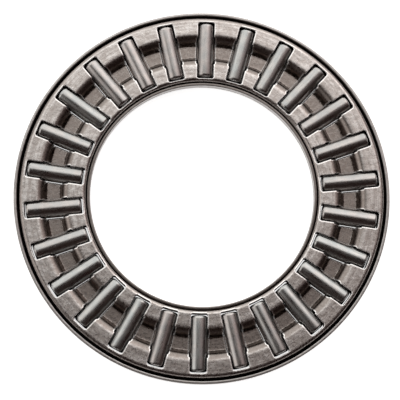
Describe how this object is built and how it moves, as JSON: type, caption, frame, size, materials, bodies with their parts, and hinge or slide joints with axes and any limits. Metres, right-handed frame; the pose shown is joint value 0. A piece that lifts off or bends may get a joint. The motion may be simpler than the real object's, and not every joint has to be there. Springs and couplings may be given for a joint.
{
  "type": "needle roller thrust bearing",
  "caption": "Flat axial bearing: thin steel needle rollers lying like spokes in a pressed steel cage ring.",
  "frame": {"origin": "on the bearing's axis, in the plane that the rollers stand on (the lower raceway's plane)", "axes": "+Z along the bearing axis towards the stepped side of the cage; the first roller lies along +Y"},
  "size_m": [0.042, 0.042, 0.002],
  "materials": {
    "cage_steel": "satin pressed strip steel, tumbled, lightly oiled",
    "roller_steel": "hardened and polished bearing steel"
  },
  "bodies": {
    "cage": {"cage_lower_shell": "cage_steel", "cage_upper_shell": "cage_steel"},
    "roller_01": {"needle_roller_01": "roller_steel"},
    "roller_02": {"needle_roller_02": "roller_steel"},
    "roller_03": {"needle_roller_03": "roller_steel"},
    "roller_04": {"needle_roller_04": "roller_steel"},
    "roller_05": {"needle_roller_05": "roller_steel"},
    "roller_06": {"needle_roller_06": "roller_steel"},
    "roller_07": {"needle_roller_07": "roller_steel"},
    "roller_08": {"needle_roller_08": "roller_steel"},
    "roller_09": {"needle_roller_09": "roller_steel"},
    "roller_10": {"needle_roller_10": "roller_steel"},
    "roller_11": {"needle_roller_11": "roller_steel"},
    "roller_12": {"needle_roller_12": "roller_steel"},
    "roller_13": {"needle_roller_13": "roller_steel"},
    "roller_14": {"needle_roller_14": "roller_steel"},
    "roller_15": {"needle_roller_15": "roller_steel"},
    "roller_16": {"needle_roller_16": "roller_steel"},
    "roller_17": {"needle_roller_17": "roller_steel"},
    "roller_18": {"needle_roller_18": "roller_steel"},
    "roller_19": {"needle_roller_19": "roller_steel"},
    "roller_20": {"needle_roller_20": "roller_steel"},
    "roller_21": {"needle_roller_21": "roller_steel"},
    "roller_22": {"needle_roller_22": "roller_steel"},
    "roller_23": {"needle_roller_23": "roller_steel"},
    "roller_24": {"needle_roller_24": "roller_steel"},
    "roller_25": {"needle_roller_25": "roller_steel"},
    "roller_26": {"needle_roller_26": "roller_steel"}
  },
  "joints": [
    {"name": "roller_01_spin", "type": "hinge", "parent": "cage", "child": "roller_01", "pos_m": [0, 0.01658, 0.001], "axis": [0, 1, 0], "continuous": true},
    {"name": "roller_02_spin", "type": "hinge", "parent": "cage", "child": "roller_02", "pos_m": [0.00397, 0.0161, 0.001], "axis": [0.2393, 0.9709, 0], "continuous": true},
    {"name": "roller_03_spin", "type": "hinge", "parent": "cage", "child": "roller_03", "pos_m": [0.00771, 0.01468, 0.001], "axis": [0.4647, 0.8855, 0], "continuous": true},
    {"name": "roller_04_spin", "type": "hinge", "parent": "cage", "child": "roller_04", "pos_m": [0.01099, 0.01241, 0.001], "axis": [0.6631, 0.7485, 0], "continuous": true},
    {"name": "roller_05_spin", "type": "hinge", "parent": "cage", "child": "roller_05", "pos_m": [0.01365, 0.00942, 0.001], "axis": [0.823, 0.5681, 0], "continuous": true},
    {"name": "roller_06_spin", "type": "hinge", "parent": "cage", "child": "roller_06", "pos_m": [0.0155, 0.00588, 0.001], "axis": [0.935, 0.3546, 0], "continuous": true},
    {"name": "roller_07_spin", "type": "hinge", "parent": "cage", "child": "roller_07", "pos_m": [0.01646, 0.002, 0.001], "axis": [0.9927, 0.1205, 0], "continuous": true},
    {"name": "roller_08_spin", "type": "hinge", "parent": "cage", "child": "roller_08", "pos_m": [0.01646, -0.002, 0.001], "axis": [0.9927, -0.1205, 0], "continuous": true},
    {"name": "roller_09_spin", "type": "hinge", "parent": "cage", "child": "roller_09", "pos_m": [0.0155, -0.00588, 0.001], "axis": [0.935, -0.3546, 0], "continuous": true},
    {"name": "roller_10_spin", "type": "hinge", "parent": "cage", "child": "roller_10", "pos_m": [0.01365, -0.00942, 0.001], "axis": [0.823, -0.5681, 0], "continuous": true},
    {"name": "roller_11_spin", "type": "hinge", "parent": "cage", "child": "roller_11", "pos_m": [0.01099, -0.01241, 0.001], "axis": [0.6631, -0.7485, 0], "continuous": true},
    {"name": "roller_12_spin", "type": "hinge", "parent": "cage", "child": "roller_12", "pos_m": [0.00771, -0.01468, 0.001], "axis": [0.4647, -0.8855, 0], "continuous": true},
    {"name": "roller_13_spin", "type": "hinge", "parent": "cage", "child": "roller_13", "pos_m": [0.00397, -0.0161, 0.001], "axis": [0.2393, -0.9709, 0], "continuous": true},
    {"name": "roller_14_spin", "type": "hinge", "parent": "cage", "child": "roller_14", "pos_m": [0, -0.01658, 0.001], "axis": [0, -1, 0], "continuous": true},
    {"name": "roller_15_spin", "type": "hinge", "parent": "cage", "child": "roller_15", "pos_m": [-0.00397, -0.0161, 0.001], "axis": [-0.2393, -0.9709, 0], "continuous": true},
    {"name": "roller_16_spin", "type": "hinge", "parent": "cage", "child": "roller_16", "pos_m": [-0.00771, -0.01468, 0.001], "axis": [-0.4647, -0.8855, 0], "continuous": true},
    {"name": "roller_17_spin", "type": "hinge", "parent": "cage", "child": "roller_17", "pos_m": [-0.01099, -0.01241, 0.001], "axis": [-0.6631, -0.7485, 0], "continuous": true},
    {"name": "roller_18_spin", "type": "hinge", "parent": "cage", "child": "roller_18", "pos_m": [-0.01365, -0.00942, 0.001], "axis": [-0.823, -0.5681, 0], "continuous": true},
    {"name": "roller_19_spin", "type": "hinge", "parent": "cage", "child": "roller_19", "pos_m": [-0.0155, -0.00588, 0.001], "axis": [-0.935, -0.3546, 0], "continuous": true},
    {"name": "roller_20_spin", "type": "hinge", "parent": "cage", "child": "roller_20", "pos_m": [-0.01646, -0.002, 0.001], "axis": [-0.9927, -0.1205, 0], "continuous": true},
    {"name": "roller_21_spin", "type": "hinge", "parent": "cage", "child": "roller_21", "pos_m": [-0.01646, 0.002, 0.001], "axis": [-0.9927, 0.1205, 0], "continuous": true},
    {"name": "roller_22_spin", "type": "hinge", "parent": "cage", "child": "roller_22", "pos_m": [-0.0155, 0.00588, 0.001], "axis": [-0.935, 0.3546, 0], "continuous": true},
    {"name": "roller_23_spin", "type": "hinge", "parent": "cage", "child": "roller_23", "pos_m": [-0.01365, 0.00942, 0.001], "axis": [-0.823, 0.5681, 0], "continuous": true},
    {"name": "roller_24_spin", "type": "hinge", "parent": "cage", "child": "roller_24", "pos_m": [-0.01099, 0.01241, 0.001], "axis": [-0.6631, 0.7485, 0], "continuous": true},
    {"name": "roller_25_spin", "type": "hinge", "parent": "cage", "child": "roller_25", "pos_m": [-0.00771, 0.01468, 0.001], "axis": [-0.4647, 0.8855, 0], "continuous": true},
    {"name": "roller_26_spin", "type": "hinge", "parent": "cage", "child": "roller_26", "pos_m": [-0.00397, 0.0161, 0.001], "axis": [-0.2393, 0.9709, 0], "continuous": true}
  ]
}
